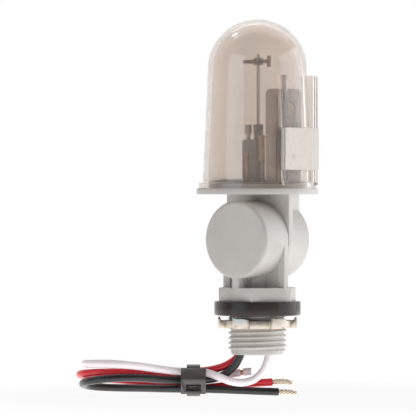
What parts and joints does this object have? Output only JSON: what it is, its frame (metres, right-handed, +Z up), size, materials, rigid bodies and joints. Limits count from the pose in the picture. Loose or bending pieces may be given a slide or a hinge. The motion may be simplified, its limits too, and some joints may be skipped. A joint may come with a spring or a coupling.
{
  "type": "photocell switch",
  "caption": "Outdoor photocell switch: smoked dome on a swivelling knuckle, with a sliding light shield, a threaded stem with gasket and locknut, and tied leads.",
  "frame": {"origin": "on the stem's axis, in the plane of the gasket's underside, where it sits on the box", "axes": "+Z up along the stem, +X the way the window and the shield face, Y along the swivel axis, with the stem's half of the knuckle at -Y"},
  "size_m": [0.0766, 0.0675, 0.1357],
  "materials": {
    "grey_plastic": "moulded, satin",
    "black_rubber": "smooth, satin",
    "plated_steel": "zinc plated, stamped",
    "red_insulation": "soft, satin",
    "black_insulation": "soft, satin",
    "white_insulation": "soft, satin",
    "tinned_copper": "twisted strands, tinned",
    "bare_copper": "bare wire",
    "black_nylon": "moulded, satin",
    "smoked_plastic": "clear, smoked, polished",
    "brown_laminate": "pressed board",
    "dark_plastic": "moulded, dull",
    "spring_steel": "rolled strip",
    "contact_brass": "stamped",
    "beige_ceramic": "coated",
    "photocell_face": "lacquered",
    "bright_sheet": "bright rolled sheet"
  },
  "bodies": {
    "stem": {"swivel_stem": "grey_plastic", "stem_gasket": "black_rubber", "locknut": "plated_steel", "lead_red": "red_insulation", "lead_black": "black_insulation", "lead_white": "white_insulation", "red_strands": "tinned_copper", "black_strands": "tinned_copper", "white_strands": "bare_copper", "white_slug": "white_insulation", "cable_tie": "black_nylon"},
    "head": {"swivel_head": "grey_plastic", "dome_cover": "smoked_plastic", "base_board": "brown_laminate", "head_wires": "black_insulation", "terminal_block": "dark_plastic", "bimetal_blade": "spring_steel", "contact_arm": "contact_brass", "clamp_bush": "dark_plastic", "contact_stud": "spring_steel", "stud_wire": "bare_copper", "heater_resistor": "beige_ceramic", "photocell_holder": "dark_plastic", "photocell": "photocell_face", "photocell_wires": "tinned_copper"},
    "shield": {"light_shield": "bright_sheet"}
  },
  "joints": [
    {"name": "head_swivel", "type": "hinge", "parent": "stem", "child": "head", "pos_m": [0, 0, 0.02725], "axis": [0, -1, 0], "range_deg": [-90, 90]},
    {"name": "shield_slide", "type": "slide", "parent": "head", "child": "shield", "axis": [0, 0, 1], "range_m": [-0.0038, 0.0186]}
  ]
}
